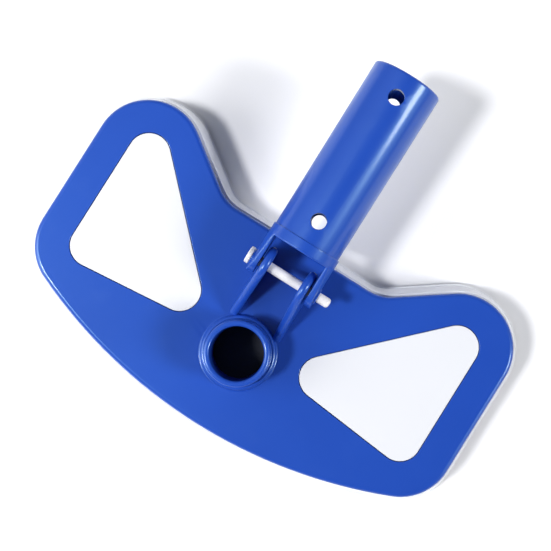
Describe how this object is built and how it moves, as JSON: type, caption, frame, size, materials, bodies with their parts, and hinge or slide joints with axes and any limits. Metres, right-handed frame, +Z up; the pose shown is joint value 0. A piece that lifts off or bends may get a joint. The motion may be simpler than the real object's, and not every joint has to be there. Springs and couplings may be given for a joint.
{
  "type": "manual pool vacuum head",
  "caption": "Butterfly-shaped manual pool vacuum head with white wing covers, a swivelling hose port, brush strips and a hinged socket for a telescopic pole.",
  "frame": {"origin": "on the floor under the middle of the whole part, in the plane of symmetry of the wings", "axes": "+X across the wings, +Y from the hose port towards the mouth of the pole socket at rest, +Z up"},
  "size_m": [0.2928, 0.2374, 0.0866],
  "materials": {
    "blue_plastic": "satin gloss injection-moulded blue plastic",
    "white_plastic": "satin white plastic",
    "white_pin": "smooth white acetal",
    "black_plastic": "matt black plastic",
    "bristle_white": "nylon tufts",
    "seal_rubber": "soft black rubber",
    "steel": "stainless steel",
    "weight_iron": "coated cast iron"
  },
  "bodies": {
    "head": {"top_shell": "blue_plastic", "base_skirt": "white_plastic", "base_plate": "black_plastic", "base_screws": "steel", "wing_cover_left": "white_plastic", "wing_cover_right": "white_plastic", "wing_tray_left": "white_plastic", "wing_tray_right": "white_plastic", "wing_weight_left": "weight_iron", "wing_weight_right": "weight_iron", "port_seal": "seal_rubber", "port_retainer": "white_plastic", "port_screws": "steel", "hinge_pin": "white_pin", "front_brush_block": "white_plastic", "front_brush_bristles": "bristle_white", "rear_brush_block": "white_plastic", "rear_brush_bristles": "bristle_white", "slope_brush_block_left": "white_plastic", "slope_brush_bristles_left": "bristle_white", "slope_brush_block_right": "white_plastic", "slope_brush_bristles_right": "bristle_white", "side_brush_block_left": "white_plastic", "side_brush_bristles_left": "bristle_white", "side_brush_block_right": "white_plastic", "side_brush_bristles_right": "bristle_white"},
    "handle": {"handle_yoke": "blue_plastic", "pole_socket": "blue_plastic"},
    "port": {"hose_port": "blue_plastic"}
  },
  "joints": [
    {"name": "handle_hinge", "type": "hinge", "parent": "head", "child": "handle", "pos_m": [0, -0.01258, 0.0569], "axis": [1, 0, 0], "range_deg": [-4, 116]},
    {"name": "port_swivel", "type": "hinge", "parent": "head", "child": "port", "pos_m": [0, -0.06398, 0.0417], "axis": [0, 0, 1], "continuous": true}
  ]
}
